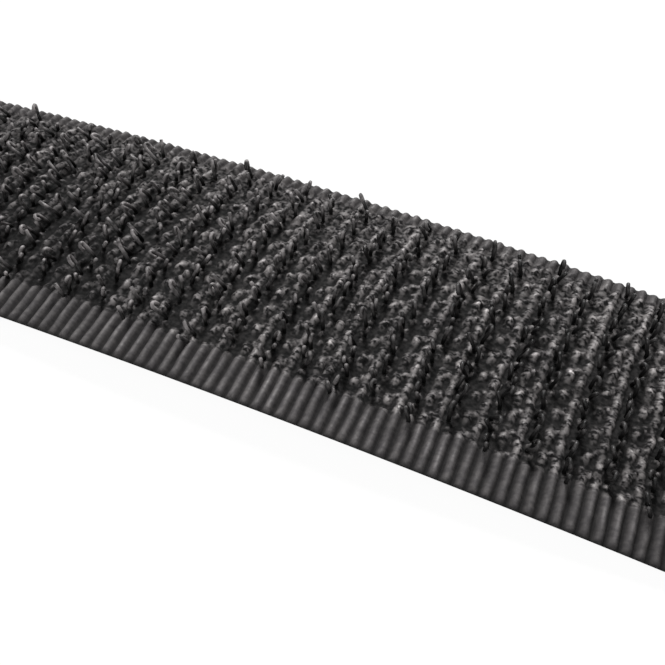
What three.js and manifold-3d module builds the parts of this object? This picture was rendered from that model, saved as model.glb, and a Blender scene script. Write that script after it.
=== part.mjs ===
import * as THREE from 'three';
import { mergeVertices } from 'three/addons/utils/BufferGeometryUtils.js';
import Module from 'manifold-3d';

// Roll of hook tape on a plain core, with a free tail lying hook side up.
// Millimetres. X runs along the tail away from the roll, Y across the tape, Z up.

// Tape cloth
const tapeWidth = 20;
const ribPitch = 0.8605;
const coatThickness = 0.13;
const clothThickness = 0.42;
const nearSelvedge = 3.2;
const farSelvedge = 0.9;

// Hooks
const hookHeight = 1.65;
const hookShoulder = 1.02;
const hookTip = 0.75;
const hookReach = 0.8;
const hookStrandRadius = 0.13;
const hookFootDepth = 0.2;
const hookInset = 0.36;
const hooksInFullRow = 10;
const ribsPerHookRow = 3;

// Roll
const coreBore = 38;
const coreWall = 2;
const coreFacets = 64;
const turns = 8.5;
const stepsPerTurn = 20;
const turnGap = 0.5;
const coreGap = 0.3;

// Tail: flat lead under the roll, short rise, then a long shallow bow down to the free end
const leadLength = 22;
const riseLength = 17.5;
const riseAngle = THREE.MathUtils.degToRad(4.14);
const bowRadius = 400;
const tailSegments = 4;
const rowsPerSegment = 8;
const rowsPerStep = 2;
const segmentGap = 0.3;

const clothColor = 0x2b2b2e;
const hookColor = 0x1d1d20;
const coatColor = 0x232325;
const coreColor = 0xa98b66;

// Sizes that follow from the ones above
const tapeThickness = coatThickness + clothThickness;
const woundThickness = tapeThickness + hookHeight;
const turnPitch = woundThickness + turnGap;
const hookRowPitch = ribsPerHookRow * ribPitch;
const segmentLength = rowsPerSegment * hookRowPitch;
const nearEdge = -tapeWidth / 2;
const farEdge = tapeWidth / 2;
const fieldNear = nearEdge + nearSelvedge;
const fieldFar = farEdge - farSelvedge;
const hookSpacing = (fieldFar - fieldNear - 2 * hookInset) / (hooksInFullRow - 1);
const coreRadius = coreBore / 2 + coreWall;
const innerTurnRadius = (coreRadius + coreGap) / Math.cos(Math.PI / stepsPerTurn) + woundThickness;
const outerTurnRadius = innerTurnRadius + turns * turnPitch;
const tailEnd = leadLength + tailSegments * segmentLength;

const wasm = await Module();
wasm.setup();

// A station is a point on the tape's back face with the direction the tape runs there.
function stationAt(x, z, angle) {
  return { x, z, alongX: Math.cos(angle), alongZ: Math.sin(angle) };
}

function arcStation(start, startAngle, curvature, length) {
  const angle = startAngle + curvature * length;
  const x = start.x + (Math.sin(angle) - Math.sin(startAngle)) / curvature;
  const z = start.z - (Math.cos(angle) - Math.cos(startAngle)) / curvature;
  return stationAt(x, z, angle);
}

const riseStart = stationAt(leadLength, 0, 0);
const bowStart = arcStation(riseStart, 0, riseAngle / riseLength, riseLength);

// The tail's back face at a length along the tape from the point where it leaves the roll
function tailStation(length) {
  if (length <= leadLength) {
    return stationAt(length, 0, 0);
  }
  if (length <= leadLength + riseLength) {
    return arcStation(riseStart, 0, riseAngle / riseLength, length - leadLength);
  }
  return arcStation(bowStart, riseAngle, -1 / bowRadius, length - leadLength - riseLength);
}

// The wound tape's back face, at an angle from the lowest point of the outer turn
function woundStation(angle) {
  const radius = outerTurnRadius - turnPitch * angle / (2 * Math.PI);
  const x = -radius * Math.sin(angle);
  const z = outerTurnRadius - radius * Math.cos(angle);
  return stationAt(x, z, -angle);
}

function pointOver(station, height, y) {
  const x = station.x - station.alongZ * height;
  const z = station.z + station.alongX * height;
  return [x, y, z];
}

// A closed strip of tape along a run of stations, between two edges and two heights over the back face
function stripGeometry(stations, yNear, yFar, low, high) {
  const positions = [];
  for (const station of stations) {
    positions.push(...pointOver(station, low, yNear));
    positions.push(...pointOver(station, low, yFar));
    positions.push(...pointOver(station, high, yFar));
    positions.push(...pointOver(station, high, yNear));
  }
  const faces = [];
  for (let step = 0; step + 1 < stations.length; step += 1) {
    for (let corner = 0; corner < 4; corner += 1) {
      const here = step * 4 + corner;
      const beside = step * 4 + (corner + 1) % 4;
      faces.push(here, beside, beside + 4);
      faces.push(here, beside + 4, here + 4);
    }
  }
  const last = (stations.length - 1) * 4;
  faces.push(0, 2, 1, 0, 3, 2);
  faces.push(last, last + 1, last + 2, last, last + 2, last + 3);
  return geometryFrom(positions, faces);
}

function geometryFrom(positions, faces) {
  const geometry = new THREE.BufferGeometry();
  geometry.setAttribute('position', new THREE.Float32BufferAttribute(positions, 3));
  geometry.setIndex(faces);
  return geometry;
}

function solidFrom(geometry) {
  const merged = mergeVertices(geometry, 1e-4);
  return new wasm.Manifold(new wasm.Mesh({
    numProp: 3,
    vertProperties: new Float32Array(merged.attributes.position.array),
    triVerts: new Uint32Array(merged.index.array),
  }));
}

function geometryOf(solid) {
  const mesh = solid.getMesh();
  return geometryFrom(mesh.vertProperties, Array.from(mesh.triVerts));
}

// A point of a hook: its reach along the tape, its height over the cloth and its place across the tape
function hookPoint(station, reach, height, y) {
  const point = pointOver(station, tapeThickness + height, y);
  point[0] += station.alongX * reach;
  point[2] += station.alongZ * reach;
  return point;
}

// One hook: a straight stem, an arch along the tape and a downturned, pointed tip, as a three-sided strand
function hookGeometry(station, y, facing) {
  const foot = { reach: 0, height: -hookFootDepth };
  const shoulder = { reach: 0, height: hookShoulder };
  const crest = { reach: hookReach / 2, height: hookHeight - hookStrandRadius };
  const tip = { reach: hookReach, height: hookTip };
  const bends = [foot, shoulder, crest];
  const sides = 3;
  const positions = [];
  for (let ring = 0; ring < bends.length; ring += 1) {
    const before = bends[Math.max(ring - 1, 0)];
    const after = ring === 0 ? shoulder : bends[ring + 1] ?? tip;
    const run = after.reach - before.reach;
    const climb = after.height - before.height;
    const length = Math.hypot(run, climb);
    for (let side = 0; side < sides; side += 1) {
      const turn = 2 * Math.PI * side / sides;
      const outward = hookStrandRadius * Math.cos(turn);
      const sideways = hookStrandRadius * Math.sin(turn) * facing;
      const reach = (bends[ring].reach + outward * climb / length) * facing;
      const height = bends[ring].height - outward * run / length;
      positions.push(...hookPoint(station, reach, height, y + sideways));
    }
  }
  positions.push(...hookPoint(station, tip.reach * facing, tip.height, y));
  const faces = [0, 2, 1];
  const apex = bends.length * sides;
  for (let side = 0; side < sides; side += 1) {
    const next = (side + 1) % sides;
    for (let ring = 0; ring + 1 < bends.length; ring += 1) {
      const here = ring * sides + side;
      const beside = ring * sides + next;
      faces.push(here, beside, beside + sides);
      faces.push(here, beside + sides, here + sides);
    }
    faces.push(apex - sides + side, apex - sides + next, apex);
  }
  return geometryFrom(positions, faces);
}

// The hooks of one tail segment: rows three ribs apart, every other row set half a spacing inwards
function segmentHooks(segment) {
  const hooks = [];
  for (let row = 0; row < rowsPerSegment; row += 1) {
    const length = leadLength + segment * segmentLength + (row + 0.5) * hookRowPitch;
    const station = tailStation(length);
    const shifted = row % 2;
    const facing = shifted ? -1 : 1;
    const foot = { ...station };
    foot.x -= facing * station.alongX * hookReach / 2;
    foot.z -= facing * station.alongZ * hookReach / 2;
    for (let column = 0; column < hooksInFullRow - shifted; column += 1) {
      const y = fieldNear + hookInset + (column + shifted / 2) * hookSpacing;
      hooks.push(solidFrom(hookGeometry(foot, y, facing)));
    }
  }
  return hooks;
}

const roll = new THREE.Group();
roll.name = 'hook_tape_roll';

function addPiece(name, geometry, color, roughness) {
  const material = new THREE.MeshStandardMaterial({ color, roughness, metalness: 0 });
  const mesh = new THREE.Mesh(geometry, material);
  mesh.name = name;
  roll.add(mesh);
}

// Core: a plain tube, as wide as the tape
const coreOutline = [
  new THREE.Vector2(coreBore / 2, nearEdge),
  new THREE.Vector2(coreRadius, nearEdge),
  new THREE.Vector2(coreRadius, farEdge),
  new THREE.Vector2(coreBore / 2, farEdge),
  new THREE.Vector2(coreBore / 2, nearEdge),
];
const core = new THREE.LatheGeometry(coreOutline, coreFacets);
core.deleteAttribute('normal');
core.deleteAttribute('uv');
const coreGeometry = mergeVertices(core, 1e-4);
coreGeometry.translate(0, 0, outerTurnRadius);
addPiece('core_tube', coreGeometry, coreColor, 0.9);

// Winding: one unbroken strip from the core out to the lead that lies under the roll
const woundStations = [];
const woundSteps = Math.round(turns * stepsPerTurn);
for (let step = woundSteps; step >= 0; step -= 1) {
  woundStations.push(woundStation(2 * Math.PI * step / stepsPerTurn));
}
woundStations.push(tailStation(leadLength - segmentGap / 2));
addPiece('winding', stripGeometry(woundStations, nearEdge, farEdge, 0, woundThickness), clothColor, 0.85);

// Least gap between one turn and the next, on points along the hook side and the back
let leastGap = Infinity;
for (let step = 0; step + stepsPerTurn <= woundSteps; step += 1) {
  const outer = woundStation(2 * Math.PI * step / stepsPerTurn);
  const hookSide = pointOver(outer, woundThickness, 0);
  for (let near = step + stepsPerTurn - 2; near <= step + stepsPerTurn + 1; near += 1) {
    const from = woundStation(2 * Math.PI * near / stepsPerTurn);
    const to = woundStation(2 * Math.PI * (near + 1) / stepsPerTurn);
    const line = new THREE.Line3(new THREE.Vector3(from.x, 0, from.z), new THREE.Vector3(to.x, 0, to.z));
    const closest = line.closestPointToPoint(new THREE.Vector3(...hookSide), true, new THREE.Vector3());
    leastGap = Math.min(leastGap, closest.distanceTo(new THREE.Vector3(...hookSide)));
  }
}
console.log('least gap between turns, mm:', leastGap.toFixed(3));

// Tail: four lengths of the same tape, each with its coat, cloth edges and hooked field
for (let segment = 0; segment < tailSegments; segment += 1) {
  const start = leadLength + segment * segmentLength;
  const stations = [];
  for (let row = 0; row <= rowsPerSegment; row += rowsPerStep) {
    let length = start + row * hookRowPitch;
    if (row === 0) {
      length += segmentGap / 2;
    }
    if (row === rowsPerSegment && segment + 1 < tailSegments) {
      length -= segmentGap / 2;
    }
    stations.push(tailStation(length));
  }
  const number = segment + 1;
  const coat = stripGeometry(stations, nearEdge, farEdge, 0, coatThickness);
  const near = stripGeometry(stations, nearEdge, fieldNear, coatThickness, tapeThickness);
  const far = stripGeometry(stations, fieldFar, farEdge, coatThickness, tapeThickness);
  const field = stripGeometry(stations, fieldNear, fieldFar, coatThickness, tapeThickness);
  const hooked = wasm.Manifold.union([solidFrom(field), ...segmentHooks(segment)]);
  addPiece(`back_coat_${number}`, coat, coatColor, 0.6);
  addPiece(`near_selvedge_${number}`, near, clothColor, 0.85);
  addPiece(`far_selvedge_${number}`, far, clothColor, 0.85);
  addPiece(`hook_field_${number}`, geometryOf(hooked), hookColor, 0.5);
}

// The part's origin lies at the bottom centre of its bounding box.
const box = new THREE.Box3().setFromObject(roll);
const centre = box.getCenter(new THREE.Vector3());
for (const piece of roll.children) {
  piece.geometry.translate(-centre.x, -centre.y, -box.min.z);
}
console.log('shift along X, mm:', (-centre.x).toFixed(4), 'lift, mm:', (-box.min.z).toFixed(4));
for (let segment = 1; segment < tailSegments; segment += 1) {
  const station = tailStation(leadLength + segment * segmentLength);
  const hinge = pointOver(station, tapeThickness / 2, 0);
  console.log('hinge', segment, (hinge[0] - centre.x).toFixed(4), (hinge[2] - box.min.z).toFixed(4));
}
const end = tailStation(tailEnd);
console.log('free end, mm:', end.x.toFixed(3), end.z.toFixed(3));
console.log('wound tape, mm:', (Math.PI * turns * (innerTurnRadius + outerTurnRadius)).toFixed(0));

export default roll;
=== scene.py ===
"""Looks of the hook tape roll: ribbed cloth, hooks, coated back and card core around the CAD frame."""

import math

import bpy
import numpy as np
from mathutils import Matrix, Vector


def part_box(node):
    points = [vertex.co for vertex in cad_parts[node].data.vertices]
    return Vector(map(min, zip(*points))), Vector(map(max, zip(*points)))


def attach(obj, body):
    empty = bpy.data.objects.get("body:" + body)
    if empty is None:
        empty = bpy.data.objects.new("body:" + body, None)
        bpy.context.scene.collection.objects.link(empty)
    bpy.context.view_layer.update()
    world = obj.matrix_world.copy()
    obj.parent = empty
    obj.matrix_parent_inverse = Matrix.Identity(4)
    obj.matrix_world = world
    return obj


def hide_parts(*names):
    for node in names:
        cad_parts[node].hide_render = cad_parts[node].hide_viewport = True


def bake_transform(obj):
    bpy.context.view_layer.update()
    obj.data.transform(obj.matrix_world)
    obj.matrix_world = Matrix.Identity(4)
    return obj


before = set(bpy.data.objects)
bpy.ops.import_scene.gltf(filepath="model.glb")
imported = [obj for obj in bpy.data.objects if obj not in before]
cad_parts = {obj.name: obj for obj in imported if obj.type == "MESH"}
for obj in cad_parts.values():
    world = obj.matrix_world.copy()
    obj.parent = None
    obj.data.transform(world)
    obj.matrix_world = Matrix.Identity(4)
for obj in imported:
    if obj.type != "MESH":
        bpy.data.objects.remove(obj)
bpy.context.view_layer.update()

# Tape and core sizes in millimetres, as in the CAD
MM = 0.001
TAPE_WIDTH = 20.0
NEAR_EDGE = -TAPE_WIDTH / 2
FAR_EDGE = TAPE_WIDTH / 2
RIB_PITCH = 0.8605
TAPE_THICKNESS = 0.55
NEAR_SELVEDGE = 3.2
FAR_SELVEDGE = 0.9
HOOK_HEIGHT = 1.65
HOOK_INSET = 0.36
HOOKS_IN_FULL_ROW = 10
RIBS_PER_ROW = 3
ROW_PITCH = RIBS_PER_ROW * RIB_PITCH
HOOK_SPACING = (TAPE_WIDTH - NEAR_SELVEDGE - FAR_SELVEDGE - 2 * HOOK_INSET) / (HOOKS_IN_FULL_ROW - 1)
FIRST_HOOK_Y = NEAR_EDGE + NEAR_SELVEDGE + HOOK_INSET
TURN_GAP = 0.5
TURN_PITCH = TAPE_THICKNESS + HOOK_HEIGHT + TURN_GAP
TURNS = 8.5
CORE_BORE = 38.0
CORE_WALL = 2.0
CORE_BEVEL = 0.22
CORE_SIDES = 160
CORE_WOBBLE = 0.0012

# Tail path in millimetres of tape from the point where it leaves the roll
LEAD = 22.0
RISE = 17.5
RISE_ANGLE = math.radians(4.14)
BOW_RADIUS = 400.0
SEGMENT = 8 * ROW_PITCH
TAIL_END = LEAD + 4 * SEGMENT

# The stretch of tail in the photo, counted in ribs, and the bow of its weft
FIRST_RIB = LEAD + 33.5 * RIB_PITCH
RIBS_IN_VIEW = 54.0
BOW_START = 7.0
BOW_RUN = 14.0
BOW_LAG = 1.42
BOW_POWER = 1.6
BOW_EASE = 0.0286
BOW_MIDDLE = 33.0
BOW_FADE = 15.0

# Hooks: loops with a cut tip, and the stubs of their other legs, in millimetres and radians
HOOK_RADIUS = 0.14
LOOP_HEIGHT = 1.20
LOOP_CENTRE_DROP = 0.10
LOOP_REACH = 0.46
LOOP_SETBACK = 0.12
LOOP_LEAN = 0.10
LOOP_YAW = -1.34
TIP_DROP = 0.22
TIP_CURL = 0.10
TIP_ROUND = 0.25
STUB_HEIGHT = 1.0
STUB_STEP = 0.84
FOOT_DEPTH = 0.25
FOOT_DROP = 0.08

# How much single hooks differ, as standard deviations
SPREAD_LIMIT = 1.6
HEIGHT_SPREAD = 0.09
REACH_SPREAD = 0.06
DROP_SPREAD = 0.10
ARCH_LEAN = 0.16
STEM_BOW = 0.07
STUB_SPREAD = 0.10
STUB_LEAN = 0.22
LOOP_TWIST = 0.24
LOOP_TILT = 0.09
LOOP_SWAY = 0.28
STRAY_ALONG = 0.05
STRAY_ACROSS = 0.06
ROW_SEEDS = 977

# The pile is more tangled where the tail leaves the roll
TANGLED_TILT = 0.20
TANGLED_SWAY = 0.364
TANGLE_RUN = 18.0

# On the roll the hooks reach for the back of the next turn, and their rows are less straight
WOUND_HEIGHT = 2.20
WOUND_RUN = 60.0
WOUND_STRAY = 0.5
TIP_CLEARANCE = 0.02
HIGHEST_ARCH = TURN_PITCH - TAPE_THICKNESS + FOOT_DROP - HOOK_RADIUS - TIP_CLEARANCE

# Painted shade on the hooks: dark at the foot, light at the tip, and darker on the roll and towards the
# free end
DARK_FOOT = 0.63
LIGHT_TIP = 1.475
FOOT_PAINTED_SHADE = 0.03
FADE_START = FIRST_RIB + 14.0
FADE_END = FIRST_RIB + 32.0
FREE_END_PAINTED_SHADE = 0.15
WOUND_PAINTED_SHADE = 0.10

# Relief of the weave, in millimetres and in shares of a rib
STATIONS_PER_RIB = 12
COLUMNS = 190
RIB_RISE = 0.36
RIB_SHARE = 0.84
RIB_ROUND = 0.8
RIB_LIMIT = 1.25
FIELD_FADE = 0.5
BACK_RISE = 0.03
BACK_INSETS = (0.10, 0.6)
EDGE_LOW = 0.18
EDGE_STEPS = (0.0, 0.02, 0.06, 0.12, 0.2, 0.3)
EDGE_INSET = 0.40
NEAR_ROUND = 0.5
FAR_ROUND = 0.15

# How single ribs wander and swell, over steps in columns; the patterns come round after so many ribs
RIB_DRIFT = 0.05
SELVEDGE_DRIFT = 0.4
DRIFT_PATTERNS = 11
DRIFT_STEPS = (22, 10)
RIB_SWELL = 0.10
SWELL_PATTERNS = 13
SWELL_STEP = 9
RIB_WIGGLE = 0.05

# Beads on the two ribs beside each hook row, rungs between these ribs and dips at the hooks' feet
LEADING_DIP = 0.32
TRAILING_DIP = 0.60
LEADING_SHIFT = 0.3
BEAD_SPREAD = 0.34
BEAD_STEP = 0.25
BEAD_SHARPNESS = 2.0
BEAD_CHANCE = np.random.default_rng(5).random((2, 17, 29))
RUNG_SHARPNESS = 3.0
RUNG_REACH = 0.30
RUNG_RISE = 0.85
RUNG_SPREAD = 0.4
FEET_DIP = 0.80
FEET_SHIFT = 0.13

# Painted light and shade of the weave: painted groove shade, glints, light and shade as shares of the
# material's light, and the lengths of tail over which they change
PAINTED_GROOVE_SHADE = 0.27
FAR_PAINTED_GROOVE_SHADE = 0.58
FIELD_FAR_PAINTED_LIGHT = 0.32
BEAD_PAINTED_GLINT = 0.3
GLINT_SHARPNESS = 3
PAINTED_LIGHT_RUN = 14.0
PAINTED_GLINT_LEAST = 0.15
ROLL_SHADE = 0.98
SHADE_MIDDLE = 0.65
SHADE_SLOPE = 0.35
NEAR_LIGHT = 0.5
SELVEDGE_LIGHT = 0.12
FAR_SELVEDGE_LIGHT = 0.4
SELVEDGE_START = 0.7
SELVEDGE_GAIN = 0.3
LEADING_SHADE = 0.36
TRAILING_LIGHT = 0.03
SIDE_SHADE_RUN = 28.0
DIM_START = 25.0
DIM_RUN = 21.0

# The wound cloth, which is seen from its edges and its back
WOUND_STATIONS_PER_RIB = 4
WOUND_RISE = 0.22
WOUND_EDGE = 0.25
WOUND_EDGE_STEP = 0.06
WOUND_PAINTED_GROOVE_SHADE = 0.4
WOUND_BACK_RISE = 0.06

core_low, core_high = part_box("core_tube")
AXIS_X = (core_low.x + core_high.x) / 2 / MM
ROLL_RADIUS = (core_low.z + core_high.z) / 2 / MM
WOUND_LENGTH = ROLL_RADIUS * 2 * math.pi * TURNS - TURN_PITCH * math.pi * TURNS**2


def arc(x, z, angle, curvature, length):
    """Place and direction after a length of arc."""
    turned = angle + curvature * length
    return (
        x + (np.sin(turned) - np.sin(angle)) / curvature,
        z - (np.cos(turned) - np.cos(angle)) / curvature,
        turned,
    )


def tape_line(s):
    """x, z and angle of the tape's back face at lengths s; negative lengths are wound on the roll."""
    s = np.asarray(s, float)
    bow_x, bow_z, _ = arc(LEAD, 0.0, 0.0, RISE_ANGLE / RISE, RISE)
    wound = np.clip(-s, 0.0, WOUND_LENGTH)
    taper = TURN_PITCH / (4 * math.pi)
    phi = (ROLL_RADIUS - np.sqrt(np.maximum(ROLL_RADIUS**2 - 4 * taper * wound, 0.0))) / (2 * taper)
    radius = ROLL_RADIUS - TURN_PITCH * phi / (2 * math.pi)
    rise = arc(LEAD, 0.0, 0.0, RISE_ANGLE / RISE, np.clip(s - LEAD, 0.0, RISE))
    bow = arc(bow_x, bow_z, RISE_ANGLE, -1 / BOW_RADIUS, np.maximum(s - LEAD - RISE, 0.0))
    on_roll = (-radius * np.sin(phi), ROLL_RADIUS - radius * np.cos(phi), -phi)
    flat = (s, np.zeros_like(s), np.zeros_like(s))
    places = [s < 0, s <= LEAD, s <= LEAD + RISE]
    return [np.select(places, [on_roll[i], flat[i], rise[i]], bow[i]) for i in range(3)]


def tape_point(s, y, h):
    """Points in metres at length s, place y across the tape and height h over its back face."""
    x, z, angle = tape_line(s)
    return np.stack([x - np.sin(angle) * h + AXIS_X, y + 0 * x, z + np.cos(angle) * h], -1) * MM


def weft_bow(s, y):
    """How far the ribs lag along the tape towards the far edge; they lag less further along the tail."""
    over = np.maximum((y - NEAR_EDGE) / RIB_PITCH - BOW_START, 0.0) / BOW_RUN
    ribs_on = np.clip((s - FIRST_RIB) / RIB_PITCH, 0.0, RIBS_IN_VIEW) - BOW_MIDDLE
    grown = np.clip(np.abs(s - LEAD) / BOW_FADE, 0.0, 1.0)
    return RIB_PITCH * grown * (BOW_LAG * over**BOW_POWER - BOW_EASE * ribs_on * over**2)


def make_mesh(name, points, faces, vectors, materials, slots=None, smooth=True):
    """A mesh object from points in metres, faces of one size each and named vectors for its materials."""
    mesh = bpy.data.meshes.new(name)
    faces = [np.asarray(f, np.int32) for f in faces if len(f)]
    sizes = np.concatenate([np.full(len(f), f.shape[1], np.int32) for f in faces])
    corners = np.concatenate([f.ravel() for f in faces])
    mesh.vertices.add(len(points))
    mesh.vertices.foreach_set("co", np.asarray(points, np.float32).ravel())
    mesh.loops.add(len(corners))
    mesh.loops.foreach_set("vertex_index", corners)
    mesh.polygons.add(len(sizes))
    mesh.polygons.foreach_set("loop_start", np.concatenate([[0], np.cumsum(sizes)[:-1]]).astype(np.int32))
    mesh.polygons.foreach_set("use_smooth", np.full(len(sizes), smooth))
    for material in materials:
        mesh.materials.append(material)
    if slots is not None:
        mesh.polygons.foreach_set("material_index", np.asarray(slots, np.int32))
    for label, values in vectors.items():
        attribute = mesh.attributes.new(label, "FLOAT_VECTOR", "POINT")
        attribute.data.foreach_set("vector", np.asarray(values, np.float32).ravel())
    mesh.update(calc_edges=True)
    mesh.validate()
    obj = bpy.data.objects.new(name, mesh)
    bpy.context.scene.collection.objects.link(obj)
    return obj


def ring_faces(rings, around, closed=True):
    """Quads between successive rings of points."""
    a = np.arange(rings - 1)[:, None] * around
    j = np.arange(around if closed else around - 1)[None, :]
    k = (j + 1) % around
    return np.stack([a + j, a + k, a + k + around, a + j + around], -1).reshape(-1, 4)


# Materials


def new_material(name):
    """A material, its nodes and links, and its shader."""
    material = bpy.data.materials.new(name)
    material.use_nodes = True
    nodes, links = material.node_tree.nodes, material.node_tree.links
    return material, nodes, links, nodes["Principled BSDF"]


def scaled(nodes, links, source, scale):
    """The tape coordinates stretched by a scale along, across and through the tape."""
    mapping = nodes.new("ShaderNodeMapping")
    mapping.inputs["Scale"].default_value = scale
    links.new(source, mapping.inputs["Vector"])
    return mapping.outputs["Vector"]


def noise(nodes, links, vector, scale, detail=3.0, roughness=0.6):
    """Smooth noise from 0 to 1."""
    texture = nodes.new("ShaderNodeTexNoise")
    texture.inputs["Scale"].default_value = scale
    texture.inputs["Detail"].default_value = detail
    texture.inputs["Roughness"].default_value = roughness
    links.new(vector, texture.inputs["Vector"])
    return texture.outputs["Fac"]


def ramp(nodes, links, factor, stops):
    """A colour by a factor, from stops of (place, colour)."""
    node = nodes.new("ShaderNodeValToRGB")
    elements = node.color_ramp.elements
    while len(elements) < len(stops):
        elements.new(0.5)
    for element, (place, color) in zip(elements, stops):
        element.position = place
        element.color = (*color, 1)
    links.new(factor, node.inputs["Fac"])
    return node.outputs["Color"]


def ranged(nodes, links, factor, low, high, to_low, to_high):
    """A factor moved from one range to another."""
    node = nodes.new("ShaderNodeMapRange")
    node.inputs["From Min"].default_value = low
    node.inputs["From Max"].default_value = high
    node.inputs["To Min"].default_value = to_low
    node.inputs["To Max"].default_value = to_high
    links.new(factor, node.inputs["Value"])
    return node.outputs["Result"]


def mixed(nodes, links, factor, a, b, blend="MIX"):
    """Two colours mixed by a number or by another node's factor."""
    node = nodes.new("ShaderNodeMix")
    node.data_type = "RGBA"
    node.blend_type = blend
    if isinstance(factor, float):
        node.inputs["Factor"].default_value = factor
    else:
        links.new(factor, node.inputs["Factor"])
    links.new(a, node.inputs["A"])
    links.new(b, node.inputs["B"])
    return node.outputs["Result"]


def bumped(nodes, links, shader, layers):
    """Chains bump layers of (height, strength, distance in metres) into a shader's normal."""
    normal = None
    for height, strength, distance in layers:
        bump = nodes.new("ShaderNodeBump")
        bump.inputs["Strength"].default_value = strength
        bump.inputs["Distance"].default_value = distance
        links.new(height, bump.inputs["Height"])
        if normal is not None:
            links.new(normal, bump.inputs["Normal"])
        normal = bump.outputs["Normal"]
    links.new(normal, shader.inputs["Normal"])


def vector_of(nodes, label):
    """A mesh's named vector."""
    node = nodes.new("ShaderNodeAttribute")
    node.attribute_name = label
    return node.outputs["Vector"]


def split(nodes, links, vector):
    """A vector's three values."""
    node = nodes.new("ShaderNodeSeparateXYZ")
    links.new(vector, node.inputs["Vector"])
    return node.outputs["X"], node.outputs["Y"], node.outputs["Z"]


def cloth_material():
    material, nodes, links, shader = new_material("ribbed_nylon_cloth")
    tape = vector_of(nodes, "tape")
    crest, rough_share, light_share = split(nodes, links, vector_of(nodes, "weave"))
    filaments = noise(nodes, links, scaled(nodes, links, tape, (7.0, 2.2, 7.0)), 1.0, 2.0, 0.5)
    patches = noise(nodes, links, scaled(nodes, links, tape, (0.25, 0.35, 0.3)), 1.0, 2.0, 0.5)
    floats = noise(nodes, links, scaled(nodes, links, tape, (3.2, 3.8, 1.0)), 1.0, 1.0, 0.5)
    # Painted shade and highlight: the crest share darkens the colour to near black in grooves and dips and
    # lightens it on the crests
    yarn_with_groove_shade = ramp(
        nodes, links, ranged(nodes, links, crest, 0.0, 2.0, 0.0, 1.0),
        [
            (0.08, (0.0043, 0.0040, 0.0040)), (0.28, (0.0430, 0.0400, 0.0400)),
            (0.50, (0.0900, 0.0840, 0.0840)), (0.85, (0.315, 0.296, 0.296)),
        ],
    )
    smooth = ramp(nodes, links, floats, [(0.35, (0.72, 0.72, 0.73)), (0.65, (1.04, 1.04, 1.03))])
    rough = ramp(
        nodes, links, floats,
        [(0.36, (0.04, 0.04, 0.041)), (0.47, (0.80, 0.80, 0.80)), (0.63, (2.2, 2.2, 2.17))],
    )
    speckle = mixed(nodes, links, rough_share, smooth, rough)
    strand = ramp(nodes, links, filaments, [(0.30, (0.86, 0.86, 0.87)), (0.70, (1.1, 1.1, 1.1))])
    shade = ramp(nodes, links, patches, [(0.30, (0.80, 0.80, 0.81)), (0.70, (1.08, 1.08, 1.08))])
    # Painted light and shade: the light share lightens the far side and selvedges and darkens the field
    # near the roll
    lit = ramp(
        nodes, links, light_share,
        [
            (0.0, (0.62, 0.62, 0.62)), (0.12, (0.88, 0.88, 0.88)),
            (0.5, (1.2, 1.2, 1.19)), (1.0, (1.36, 1.36, 1.35)),
        ],
    )
    color = yarn_with_groove_shade
    for layer in (speckle, strand, shade, lit):
        color = mixed(nodes, links, 1.0, color, layer, "MULTIPLY")
    links.new(color, shader.inputs["Base Color"])
    links.new(ranged(nodes, links, color, 0.015, 0.11, 0.90, 0.50), shader.inputs["Roughness"])
    shader.inputs["Specular IOR Level"].default_value = 0.2
    bumped(nodes, links, shader, [(floats, 0.35, 0.00010), (filaments, 0.3, 0.00004)])
    return material


def hook_material():
    material, nodes, links, shader = new_material("charcoal_monofilament")
    tape = vector_of(nodes, "tape")
    along, _, over = split(nodes, links, tape)
    drawn = noise(nodes, links, scaled(nodes, links, tape, (2.0, 2.0, 1.6)), 1.0, 2.0, 0.5)
    batch = noise(nodes, links, scaled(nodes, links, tape, (0.5, 0.7, 0.1)), 1.0, 1.0, 0.5)
    strand = ramp(nodes, links, drawn, [(0.36, (0.018, 0.0167, 0.0167)), (0.66, (0.22, 0.205, 0.205))])
    # Painted shade: darker colour at the strands' feet, where shade falls among them, lighter towards their
    # tips
    foot_shade = ranged(nodes, links, over, DARK_FOOT, LIGHT_TIP, FOOT_PAINTED_SHADE, 1.0)
    # Painted shade: darker strands on the roll, between the turns
    wound = ranged(nodes, links, along, 0.0, LEAD, WOUND_PAINTED_SHADE, 1.0)
    # Painted shade: darker strands towards the free end
    free_end_shade = ranged(nodes, links, along, FADE_START, FADE_END, 1.0, FREE_END_PAINTED_SHADE)
    color = strand
    for layer in (foot_shade, wound, free_end_shade):
        color = mixed(nodes, links, 1.0, color, layer, "MULTIPLY")
    links.new(color, shader.inputs["Base Color"])
    links.new(ranged(nodes, links, batch, 0.35, 0.65, 0.42, 0.60), shader.inputs["Roughness"])
    shader.inputs["Specular IOR Level"].default_value = 0.28
    bumped(nodes, links, shader, [(drawn, 0.25, 0.00002)])
    return material


def coat_material():
    material, nodes, links, shader = new_material("resin_coated_back")
    tape = vector_of(nodes, "tape")
    mottle = noise(nodes, links, scaled(nodes, links, tape, (0.9, 0.6, 1.0)), 1.0, 4.0, 0.6)
    grain = noise(nodes, links, scaled(nodes, links, tape, (6.0, 2.2, 6.0)), 1.0, 3.0, 0.6)
    color = ramp(nodes, links, mottle, [(0.3, (0.018, 0.018, 0.019)), (0.72, (0.045, 0.044, 0.044))])
    links.new(color, shader.inputs["Base Color"])
    links.new(ranged(nodes, links, mottle, 0.3, 0.7, 0.54, 0.72), shader.inputs["Roughness"])
    shader.inputs["Specular IOR Level"].default_value = 0.3
    bumped(nodes, links, shader, [(mottle, 0.25, 0.00010), (grain, 0.4, 0.00004)])
    return material


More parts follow.
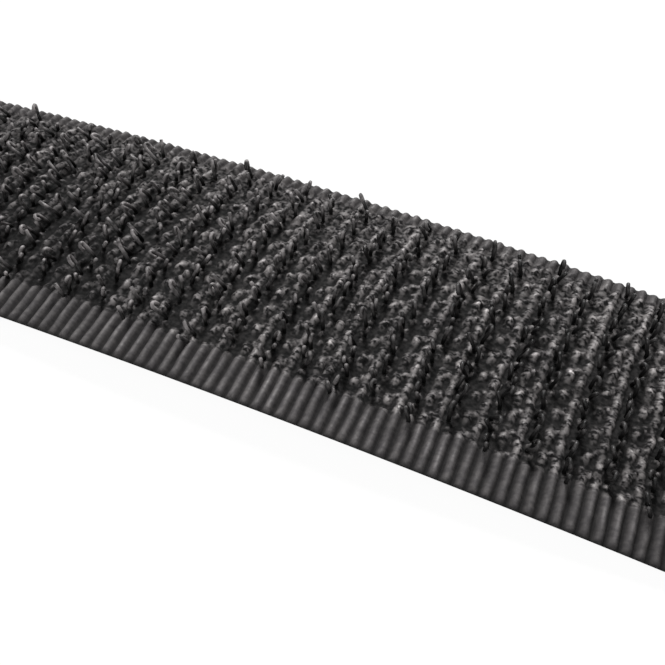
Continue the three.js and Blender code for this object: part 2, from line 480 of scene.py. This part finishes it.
def card_material():
    material, nodes, links, shader = new_material("kraft_card")
    vector = vector_of(nodes, "core")
    fibres = noise(nodes, links, scaled(nodes, links, vector, (1.2, 5.0, 3.0)), 1.0, 5.0, 0.65)
    flecks = noise(nodes, links, scaled(nodes, links, vector, (3.5, 9.0, 9.0)), 1.0, 2.0, 0.5)
    plies = nodes.new("ShaderNodeTexWave")
    plies.bands_direction = "Z"
    plies.inputs["Scale"].default_value = 0.62
    plies.inputs["Distortion"].default_value = 1.4
    plies.inputs["Detail"].default_value = 2.0
    plies.inputs["Detail Scale"].default_value = 1.2
    links.new(vector, plies.inputs["Vector"])
    seam = nodes.new("ShaderNodeTexWave")
    seam.bands_direction = "DIAGONAL"
    seam.wave_profile = "SAW"
    seam.inputs["Scale"].default_value = 0.012
    seam.inputs["Distortion"].default_value = 0.15
    links.new(vector, seam.inputs["Vector"])
    kraft = ramp(nodes, links, fibres, [(0.25, (0.205, 0.130, 0.070)), (0.75, (0.365, 0.255, 0.152))])
    fleck = ramp(nodes, links, flecks, [(0.28, (0.62, 0.60, 0.56)), (0.42, (1.0, 1.0, 1.0))])
    layer = ramp(nodes, links, plies.outputs["Fac"], [(0.1, (0.70, 0.68, 0.64)), (0.5, (1.0, 1.0, 1.0))])
    wrap = ramp(nodes, links, seam.outputs["Fac"], [(0.0, (0.55, 0.52, 0.48)), (0.03, (1.0, 1.0, 1.0))])
    color = mixed(nodes, links, 1.0, kraft, fleck, "MULTIPLY")
    color = mixed(nodes, links, 1.0, color, layer, "MULTIPLY")
    color = mixed(nodes, links, 1.0, color, wrap, "MULTIPLY")
    links.new(color, shader.inputs["Base Color"])
    links.new(ranged(nodes, links, fibres, 0.3, 0.7, 0.78, 0.92), shader.inputs["Roughness"])
    shader.inputs["Specular IOR Level"].default_value = 0.25
    bumped(nodes, links, shader, [(fibres, 0.3, 0.00008), (flecks, 0.2, 0.00004)])
    return material


CLOTH = cloth_material()
HOOK = hook_material()
COAT = coat_material()
CARD = card_material()

# Cloth


def rib_ridge(ribs, width):
    """Height share of a rounded rib as wide as a share of the pitch: 0 in the groove and 1 on the crest."""
    off = np.abs(ribs - np.floor(ribs) - 0.5) * 2 / width
    return np.cos(np.minimum(off, 1.0) * math.pi / 2) ** RIB_ROUND


def hook_field(y):
    """1 in the band that carries hooks and 0 on the two selvedges."""
    inside = np.minimum(y - NEAR_EDGE - NEAR_SELVEDGE, FAR_EDGE - FAR_SELVEDGE - y)
    return np.clip(inside / FIELD_FADE + 0.5, 0, 1)


def wave_noise(size, step, seed):
    """Smooth random values, one per place, changing over about step places."""
    local = np.random.default_rng(seed)
    knots = local.standard_normal(int(size / step) + 4)
    at = np.arange(size) / step
    i = at.astype(int)
    t = at - i
    t = t * t * (3 - 2 * t)
    return knots[i] * (1 - t) + knots[i + 1] * t


def wandering_ribs(s, y, field):
    """Places along the tape in ribs, with the bow of the weft and each rib's own wander."""
    across = y[None, :] / HOOK_SPACING
    ribs = (s[:, None] - weft_bow(s[:, None], y[None, :]) - LEAD) / RIB_PITCH
    long_step, short_step = DRIFT_STEPS
    waves = [
        wave_noise(len(y), long_step, 100 + i) + wave_noise(len(y), short_step, 300 + i)
        for i in range(DRIFT_PATTERNS)
    ]
    wander = np.stack(waves)[np.floor(ribs).astype(int) % DRIFT_PATTERNS, np.arange(len(y))[None, :]]
    ribs = ribs + (SELVEDGE_DRIFT + (1 - SELVEDGE_DRIFT) * field) * RIB_DRIFT * wander
    return ribs + field * RIB_WIGGLE * np.sin(4 * math.pi * across)


def rib_beads(number, pair, across):
    """Shares of the beads that stand on a rib, their random sizes and how strong the painted glint on each
    is.
    """
    leading = (number % RIBS_PER_ROW) == 0
    place = across + BEAD_STEP * pair + LEADING_SHIFT * leading
    _, rib_count, bead_count = BEAD_CHANCE.shape
    size, glint = BEAD_CHANCE[:, number % rib_count, np.round(place).astype(int) % bead_count]
    beads = (0.5 + 0.5 * np.cos(2 * math.pi * place)) ** BEAD_SHARPNESS
    return beads, size, glint**GLINT_SHARPNESS * beads


def row_rungs(ribs, pair, across, size):
    """Shares of the short floats that cross from one rib of a pair to the other."""
    rungs = (0.5 - 0.5 * np.cos(2 * math.pi * (across + BEAD_STEP * pair + 0.25))) ** RUNG_SHARPNESS
    return rungs * (1 - RUNG_SPREAD * size) * np.exp(-(((ribs - RIBS_PER_ROW * pair) / RUNG_REACH) ** 2))


def hook_feet(number, y):
    """Shares of the dips where hooks are rooted; odd rows stand between even ones."""
    odd = number // RIBS_PER_ROW % 2
    feet = (y[None, :] - FIRST_HOOK_Y) / HOOK_SPACING - 0.5 * odd - FEET_SHIFT * (1 - 2 * odd)
    return 0.5 + 0.5 * np.cos(4 * math.pi * feet)


def tail_relief(s, y, field):
    """Ridge shares at lengths s and places y, where hook rows run, which ribs lead, and the glints."""
    across = y[None, :] / HOOK_SPACING
    ribs = wandering_ribs(s, y, field)
    number = np.floor(ribs).astype(int)
    pair = np.round(ribs / RIBS_PER_ROW).astype(int)
    leading = (number % RIBS_PER_ROW) == 0
    hook_row = field * ((number % RIBS_PER_ROW) == 1)
    beads, size, glint = rib_beads(number, pair, across)
    swells = np.stack([wave_noise(len(y), SWELL_STEP, 200 + i) for i in range(SWELL_PATTERNS)])
    swell = 1 + RIB_SWELL * swells[number % SWELL_PATTERNS, np.arange(len(y))[None, :]]
    dip = np.where(leading, LEADING_DIP, TRAILING_DIP) * (1 - beads) + BEAD_SPREAD * size
    ridge = rib_ridge(ribs, RIB_SHARE) * swell * (1 - field * dip)
    rung = field * row_rungs(ribs, pair, across, size)
    ridge = np.maximum(ridge, RUNG_RISE * rung) * (1 - hook_row * FEET_DIP * hook_feet(number, y))
    return ridge, hook_row, leading, glint


def along_view(s, start, run):
    """0 up to a start counted from the first rib in view, rising to 1 over a run."""
    return np.clip((s[:, None] - FIRST_RIB - start) / run, 0.0, 1.0)


def tail_tones(s, y, field, relief):
    """The material's crest and light shares at lengths s and places y: painted shade in the grooves,
    painted glints, and painted light and shade along and across the tail.
    """
    ridge, hook_row, leading, glint = relief
    far_share = y[None, :] / FAR_EDGE
    run = along_view(s, 0.0, PAINTED_LIGHT_RUN)
    # Painted shade on the leading ribs and painted light on the trailing ribs, fading out along the tail
    side_shade = np.where(leading, -LEADING_SHADE, TRAILING_LIGHT) * field * (1 - hook_row)
    side_shade = side_shade * (1 - along_view(s, 0.0, SIDE_SHADE_RUN))
    # Painted highlight: glints on the beads of the ribs beside the hook rows, weaker near the roll
    painted_glint = field * (1 - hook_row) * BEAD_PAINTED_GLINT * np.maximum(run, PAINTED_GLINT_LEAST) * glint
    crest = ridge * (1 + painted_glint) * (1 + side_shade)
    # Painted shade: grooves darker in the colour, less dark on the far selvedge, and lighter towards the
    # far edge in the field
    groove_shade = np.where(y > 0, FAR_PAINTED_GROOVE_SHADE, PAINTED_GROOVE_SHADE)[None, :]
    painted_groove_floor = groove_shade * (1 - field) + FIELD_FAR_PAINTED_LIGHT * field * np.clip(far_share, 0, 1)
    crest = painted_groove_floor + (1 - painted_groove_floor) * crest
    # Painted light and shade: the selvedges' light share grows from the roll and dims further along; the
    # field's is lighter towards the far edge and takes painted shade near the roll
    painted_selvedge_light = np.where(y[None, :] > 0, FAR_SELVEDGE_LIGHT, SELVEDGE_LIGHT)
    painted_selvedge_light = painted_selvedge_light * (SELVEDGE_START + SELVEDGE_GAIN * run - along_view(s, DIM_START, DIM_RUN))
    lit = field * (NEAR_LIGHT + (1 - NEAR_LIGHT) / 2 * (far_share + 1)) + (1 - field) * painted_selvedge_light
    lit = lit - ROLL_SHADE * field * (1 - run) * (SHADE_MIDDLE - SHADE_SLOPE * far_share)
    return crest, lit


def tail_weave(s, y):
    """Heights over the back face, and the material's crest, rough and light shares; the crest and light
    shares carry painted shade and light.
    """
    field = hook_field(y)[None, :]
    relief = tail_relief(s, y, field)
    ridge = relief[0]
    height = TAPE_THICKNESS - RIB_RISE + RIB_RISE * np.clip(ridge, 0, RIB_LIMIT)
    crest, lit = tail_tones(s, y, field, relief)
    return height, np.stack([crest, field + 0 * ridge, lit + 0 * ridge], -1)


def edge_round(y, near_reach, far_reach):
    """Share of the full thickness near the two rounded edges."""
    off = np.maximum(1 - (y - NEAR_EDGE) / near_reach, 1 - (FAR_EDGE - y) / far_reach)
    return np.sqrt(1 - np.clip(off, 0, 1) ** 2)


def strip_piece(name, s, y_top, heights, weave, back):
    """A closed strip: hook side from a grid of heights, coated back from a height per length."""
    stations, across = heights.shape
    far_back = FAR_EDGE - np.array(BACK_INSETS)
    y_back = np.concatenate([far_back, [0.0], -far_back[::-1]])
    around = across + len(y_back)
    grid_s = np.repeat(s[:, None], around, 1)
    grid_y = np.concatenate([np.tile(y_top, (stations, 1)), np.tile(y_back, (stations, 1))], 1)
    grid_h = np.concatenate([heights, np.tile(back[:, None], (1, len(y_back)))], 1)
    weave = np.concatenate([weave, np.zeros((stations, len(y_back), 3))], 1)
    points = tape_point(grid_s.ravel(), grid_y.ravel(), grid_h.ravel())
    side = np.arange(around)
    coated = (side >= across - 1) & (side < around - 1)
    slots = np.concatenate([np.tile(coated, stations - 1), [False, False]])
    last = (stations - 1) * around
    faces = [ring_faces(stations, around), side[::-1][None, :], (last + side)[None, :]]
    vectors = {
        "tape": np.stack([grid_s.ravel(), grid_y.ravel(), grid_h.ravel()], -1),
        "weave": weave.reshape(-1, 3),
    }
    return make_mesh(name, points, faces, vectors, (CLOTH, COAT), slots)


def tail_cloth(name, start, end):
    """A run of the tail, with every rib, bead and rung of its weave."""
    ribs = int(round((end - start) / RIB_PITCH))
    s = np.linspace(start, end, ribs * STATIONS_PER_RIB + 1)
    edge = np.array(EDGE_STEPS)
    inner = np.linspace(NEAR_EDGE + EDGE_INSET, FAR_EDGE - EDGE_INSET, COLUMNS)
    y = np.concatenate([NEAR_EDGE + edge, inner, FAR_EDGE - edge[::-1]])
    heights, weave = tail_weave(s, y)
    rounded = edge_round(y, NEAR_ROUND, FAR_ROUND)
    heights = EDGE_LOW + (heights - EDGE_LOW) * rounded[None, :]
    # Painted shade: the crest share darkens over the rounded edges
    weave[:, :, 0] *= rounded[None, :]
    back = BACK_RISE * (1 - rib_ridge((s - LEAD) / RIB_PITCH, 1.0))
    return strip_piece(name, s, y, heights, weave, back)


def wound_cloth(name, start, end):
    """The wound tape as one strip, with plain ribs."""
    ribs = int(round((end - start) / RIB_PITCH))
    s = np.linspace(start, end, ribs * WOUND_STATIONS_PER_RIB + 1)
    edge = np.array([0.0, WOUND_EDGE_STEP, WOUND_EDGE])
    y = np.concatenate([NEAR_EDGE + edge, FAR_EDGE - edge[::-1]])
    crest = rib_ridge((s - LEAD) / RIB_PITCH, 1.0)
    height = TAPE_THICKNESS - WOUND_RISE + WOUND_RISE * crest
    rounded = edge_round(y, WOUND_EDGE, WOUND_EDGE)
    heights = EDGE_LOW + (height[:, None] - EDGE_LOW) * rounded[None, :]
    # Painted shade: the wound ribs' grooves are painted darker than their crests
    wound_groove_shade = WOUND_PAINTED_GROOVE_SHADE + (1 - WOUND_PAINTED_GROOVE_SHADE) * crest
    weave = np.stack([np.repeat(wound_groove_shade[:, None], len(y), 1), 0 * heights, 0 * heights], -1)
    back = WOUND_BACK_RISE * (1 - crest)
    return strip_piece(name, s, y, heights, weave, back)


# Hooks


def scatter(local, count):
    """Random spreads, one per strand, without far outliers."""
    return local.standard_normal(count).clip(-SPREAD_LIMIT, SPREAD_LIMIT)[:, None]


def growth(s):
    """How much higher the strands stand at lengths s; on the roll they reach for the next turn."""
    return np.interp(-s, [0.0, WOUND_RUN], [1.0, WOUND_HEIGHT / LOOP_HEIGHT])[:, None]


def loop_lines(s, samples, local):
    """Centre lines of cut loops, from the foot over the arch to the cut tip."""
    count = len(s)
    t = np.linspace(0, 1, samples)
    height = LOOP_HEIGHT * growth(s) * (1 + HEIGHT_SPREAD * scatter(local, count)) - LOOP_CENTRE_DROP
    height = np.minimum(height, HIGHEST_ARCH)
    reach = LOOP_REACH + REACH_SPREAD * scatter(local, count)
    radius = reach / 2
    stem = height - radius
    drop = TIP_DROP + DROP_SPREAD * scatter(local, count)
    arch = math.pi * radius
    run = t[None, :] * (stem + FOOT_DEPTH + arch + drop) - FOOT_DEPTH
    turn = np.clip((run - stem) / radius, 0, math.pi)
    past = np.maximum(run - stem - arch, 0)
    lean = ARCH_LEAN * scatter(local, count)
    bow = STEM_BOW * scatter(local, count)
    up = np.minimum(run, stem) + radius * np.sin(turn) - past
    along = radius * (1 - np.cos(turn)) - TIP_CURL * past - reach / 2
    along += lean * np.maximum(up, 0) + bow * np.sin(np.clip(up / height, 0, 1) * math.pi)
    return along, up


def stub_lines(s, samples, local):
    """Centre lines of the loops' other legs, cut short under the hooks' tips."""
    count = len(s)
    t = np.linspace(0, 1, samples)
    height = STUB_HEIGHT * growth(s) + STUB_SPREAD * scatter(local, count)
    up = t[None, :] * (height + FOOT_DEPTH) - FOOT_DEPTH
    lean = STUB_LEAN * scatter(local, count)
    along = STUB_STEP - LOOP_REACH / 2 + lean * np.maximum(up, 0)
    return along, up


def strand_rings(centre, level, sides, radius):
    """Rings of points around strands' centre lines, then a rounded tip and a foot for each strand."""
    tangent = np.gradient(centre, axis=1)
    tangent /= np.linalg.norm(tangent, axis=-1, keepdims=True)
    level = level - tangent * (level * tangent).sum(-1, keepdims=True)
    level /= np.linalg.norm(level, axis=-1, keepdims=True)
    other = np.cross(tangent, level)
    turn = 2 * math.pi * np.arange(sides) / sides
    spread = np.cos(turn)[:, None] * level[:, :, None, :] + np.sin(turn)[:, None] * other[:, :, None, :]
    ring = centre[:, :, None, :] + radius * spread
    tip = centre[:, -1] + TIP_ROUND * radius * tangent[:, -1]
    return np.concatenate([ring.reshape(len(centre), -1, 3), tip[:, None], centre[:, :1]], 1)


def strand_faces(count, samples, sides):
    """Quads along the strands and triangles that close their tips and feet."""
    j = np.arange(sides)
    k = (j + 1) % sides
    last = (samples - 1) * sides
    tip_fan = np.stack([last + j, last + k, np.full(sides, samples * sides)], -1)
    foot_fan = np.stack([k, j, np.full(sides, samples * sides + 1)], -1)
    shift = (np.arange(count) * (samples * sides + 2))[:, None, None]
    quads = (ring_faces(samples, sides)[None] + shift).reshape(-1, 4)
    fans = (np.concatenate([tip_fan, foot_fan])[None] + shift).reshape(-1, 3)
    return [quads, fans]


def strand_piece(name, places, lines, samples, sides, seed):
    """One mesh of monofilament strands that stand at lengths s and places y on the tape."""
    s, y, facing = places
    local = np.random.default_rng(seed)
    count = len(s)
    along, up = lines(s, samples, local)
    tangle = np.interp(s, [0.0, LEAD, FIRST_RIB, FIRST_RIB + TANGLE_RUN], [0.0, 1.0, 1.0, 0.0])[:, None]
    yaw = LOOP_YAW + LOOP_TWIST * scatter(local, count)
    tilt = (LOOP_TILT + TANGLED_TILT * tangle) * scatter(local, count)
    lean = (LOOP_SWAY + TANGLED_SWAY * tangle) * scatter(local, count) - LOOP_LEAN
    ahead = along * np.cos(yaw) * facing[:, None] - LOOP_SETBACK + lean * np.maximum(up, 0)
    aside = along * np.sin(yaw) * facing[:, None] + tilt * np.maximum(up, 0)
    centre = np.stack([ahead, aside, up], -1)
    level = np.stack([-np.sin(yaw) + 0 * up, np.cos(yaw) + 0 * up, 0 * up], -1)
    standing = strand_rings(centre, level, sides, HOOK_RADIUS)
    per_strand = standing.shape[1]
    base = np.repeat(s, per_strand)
    x, z, angle = tape_line(base)
    along_tape, across, height = standing.reshape(-1, 3).T
    across = across + np.repeat(y, per_strand)
    height = height + TAPE_THICKNESS - FOOT_DROP
    points = np.stack(
        [
            x - np.sin(angle) * height + np.cos(angle) * along_tape + AXIS_X,
            across,
            z + np.cos(angle) * height + np.sin(angle) * along_tape,
        ],
        -1,
    ) * MM
    vectors = {"tape": np.stack([base + along_tape, across, height], -1)}
    return make_mesh(name, points, strand_faces(count, samples, sides), vectors, (HOOK,))


def hook_places(first_row, last_row, keep=None, stray=STRAY_ALONG):
    """Lengths, places across and facings of hooks in a run of rows; odd rows stand between even ones."""
    s, y, facing = [], [], []
    for row in range(first_row, last_row):
        columns = np.arange(HOOKS_IN_FULL_ROW - row % 2)
        if keep is not None:
            columns = columns[keep(columns, len(columns))]
        across = FIRST_HOOK_Y + (columns + 0.5 * (row % 2)) * HOOK_SPACING
        y.append(across)
        row_s = LEAD + (row + 0.5) * ROW_PITCH
        s.append(row_s + weft_bow(row_s, across))
        facing.append(np.full(len(columns), 1.0 - 2.0 * (row % 2)))
    s, y, facing = np.concatenate(s), np.concatenate(y), np.concatenate(facing)
    local = np.random.default_rng(first_row % ROW_SEEDS)
    s = s + stray * local.standard_normal(len(s))
    return s, y + STRAY_ACROSS * local.standard_normal(len(y)), facing


# Camera, from the photo's perspective: its place is in ribs from the first rib in view at the near edge

CAMERA_AT = (38.241, -23.879, 50.565)
CAMERA_RIGHT = (0.9237, 0.3827, 0.0190)
CAMERA_AHEAD = (-0.2021, 0.5286, -0.8244)
VIEW_RIB = 27.0
VIEW_DROP = 0.05
LENS = 41.75

middle = FIRST_RIB + VIEW_RIB * RIB_PITCH
_, _, slope = (float(v) for v in tape_line(middle))
ground = Vector(tape_point(np.array([middle]), NEAR_EDGE, TAPE_THICKNESS - VIEW_DROP)[0])
turn = Matrix.Rotation(-slope, 3, "Y")
camera_place = ground + turn @ (Vector(CAMERA_AT) - Vector((VIEW_RIB, 0, 0))) * RIB_PITCH * MM
ahead = (turn @ Vector(CAMERA_AHEAD)).normalized()
right = turn @ Vector(CAMERA_RIGHT)
right = (right - ahead * right.dot(ahead)).normalized()
up = right.cross(ahead)
camera_data = bpy.data.cameras.new("camera")
camera_data.lens = LENS
camera_data.sensor_width = 36.0
camera_data.clip_start = 0.001
camera = bpy.data.objects.new("camera", camera_data)
camera.matrix_world = Matrix.Translation(camera_place) @ Matrix((right, up, -ahead)).transposed().to_4x4()
bpy.context.scene.collection.objects.link(camera)
bpy.context.scene.camera = camera

# Tail: three runs of tape, each spanning one hinge

centres = [LEAD + (i + 0.5) * SEGMENT for i in range(4)]
runs = [(LEAD, centres[1]), (centres[1], centres[2]), (centres[2], TAIL_END)]
stood_for = [(1, 2), (3,), (4,)]
parts = ("back_coat", "near_selvedge", "far_selvedge")
for i, (start, end) in enumerate(runs):
    cloth = tail_cloth(f"tail_cloth_{i + 1}", start, end)
    rows = int(round((start - LEAD) / ROW_PITCH)), int(round((end - LEAD) / ROW_PITCH))
    places = hook_places(*rows)
    hooks = strand_piece(f"tail_hooks_{i + 1}", places, loop_lines, samples=16, sides=8, seed=40 + i)
    stubs = strand_piece(f"tail_stubs_{i + 1}", places, stub_lines, samples=4, sides=8, seed=50 + i)
    bend = [Vector(tape_point(np.array([centres[i + j]]), 0.0, 0.25)[0]) for j in (0, 1)]
    for piece in (cloth, hooks, stubs):
        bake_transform(piece)
    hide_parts(*[f"{part}_{n}" for part in parts for n in stood_for[i]])
    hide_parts(*[f"hook_field_{n}" for n in stood_for[i]])

# Winding

inner_row = -int((WOUND_LENGTH + LEAD) / ROW_PITCH) + 1
wound = wound_cloth("wound_cloth", LEAD + inner_row * ROW_PITCH - RIB_PITCH, LEAD)
edge_hooks = strand_piece(
    "wound_hooks_edges", hook_places(inner_row, 0, lambda c, n: (c == 0) | (c == n - 1)),
    loop_lines, samples=9, sides=5, seed=60,
)
inner_hooks = strand_piece(
    "wound_hooks_inside", hook_places(inner_row, 0, lambda c, n: (c > 0) & (c < n - 1), stray=WOUND_STRAY),
    loop_lines, samples=6, sides=3, seed=61,
)
wound_stubs = strand_piece(
    "wound_stubs", hook_places(inner_row, 0, stray=WOUND_STRAY),
    stub_lines, samples=3, sides=4, seed=62,
)
for piece in (wound, edge_hooks, inner_hooks, wound_stubs):
    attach(piece, "roll")
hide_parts("winding")

# Core: a card tube with softened rims


def card_core():
    inner = CORE_BORE / 2
    outer = inner + CORE_WALL
    near_rim = [
        (inner, NEAR_EDGE + CORE_BEVEL), (inner + CORE_BEVEL, NEAR_EDGE),
        (outer - CORE_BEVEL, NEAR_EDGE), (outer, NEAR_EDGE + CORE_BEVEL),
    ]
    rim = near_rim + [(radius, -y) for radius, y in near_rim[::-1]]
    j = np.arange(CORE_SIDES)
    turn = 2 * math.pi * j / CORE_SIDES
    wobble = 1 + CORE_WOBBLE * np.sin(2 * turn + 0.6) + CORE_WOBBLE / 2 * np.sin(5 * turn)
    points, place = [], []
    for radius, y in rim:
        out = radius * wobble
        flat = np.full(CORE_SIDES, y)
        points.append(np.stack([AXIS_X + out * np.cos(turn), flat, ROLL_RADIUS + out * np.sin(turn)], -1))
        place.append(np.stack([(inner + outer) / 2 * turn, flat, np.full(CORE_SIDES, radius)], -1))
    k = (j + 1) % CORE_SIDES
    last = (len(rim) - 1) * CORE_SIDES
    close = np.stack([last + j, last + k, k, j], -1)
    quads = np.concatenate([ring_faces(len(rim), CORE_SIDES), close])
    points = np.concatenate(points) * MM
    return make_mesh("card_core", points, [quads], {"core": np.concatenate(place)}, (CARD,), smooth=False)


core = card_core()
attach(core, "roll")
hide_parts("core_tube")

# Stage and light


def floor_material():
    material, nodes, links, shader = new_material("white_floor")
    shader.inputs["Base Color"].default_value = (0.9, 0.9, 0.9, 1)
    shader.inputs["Roughness"].default_value = 0.9
    shader.inputs["Specular IOR Level"].default_value = 0.1
    glow = nodes.new("ShaderNodeEmission")
    glow.inputs["Color"].default_value = (1, 1, 1, 1)
    glow.inputs["Strength"].default_value = 1.0
    path = nodes.new("ShaderNodeLightPath")
    share = ranged(nodes, links, path.outputs["Is Camera Ray"], 0, 1, 0.0, 0.94)
    mix = nodes.new("ShaderNodeMixShader")
    links.new(share, mix.inputs[0])
    links.new(shader.outputs["BSDF"], mix.inputs[1])
    links.new(glow.outputs["Emission"], mix.inputs[2])
    links.new(mix.outputs["Shader"], nodes["Material Output"].inputs["Surface"])
    return material


FLOOR_HALF = 1.5
FLOOR_DROP = 0.00002
corners = [(x * FLOOR_HALF, y * FLOOR_HALF, -FLOOR_DROP) for x, y in ((-1, -1), (1, -1), (1, 1), (-1, 1))]
floor = make_mesh("floor", corners, [np.array([[0, 1, 2, 3]])], {}, (floor_material(),), smooth=False)

world = bpy.data.worlds.new("studio")
bpy.context.scene.world = world
world.use_nodes = True
world_nodes, world_links = world.node_tree.nodes, world.node_tree.links
background = world_nodes["Background"]
background.inputs["Color"].default_value = (1, 1, 1, 1)
rays = world_nodes.new("ShaderNodeLightPath")
strength = ranged(world_nodes, world_links, rays.outputs["Is Camera Ray"], 0, 1, 0.28, 1.0)
world_links.new(strength, background.inputs["Strength"])


def area_light(name, place, target, size, power):
    data = bpy.data.lights.new(name, "AREA")
    data.shape = "DISK"
    data.size = size
    data.energy = power
    lamp = bpy.data.objects.new(name, data)
    lamp.location = place
    lamp.rotation_euler = (Vector(target) - Vector(place)).to_track_quat("-Z", "Y").to_euler()
    bpy.context.scene.collection.objects.link(lamp)


target = tuple(ground + Vector((0, 0.01, 0)))
area_light("key", (0.0, 0.14, 0.15), target, size=0.07, power=0.76)
area_light("fill", (0.10, -0.34, 0.22), target, size=0.24, power=0.76)
area_light("side", (-0.32, -0.10, 0.30), (-0.03, 0, 0.04), size=0.25, power=1.0)

bpy.context.scene.view_settings.view_transform = "Standard"
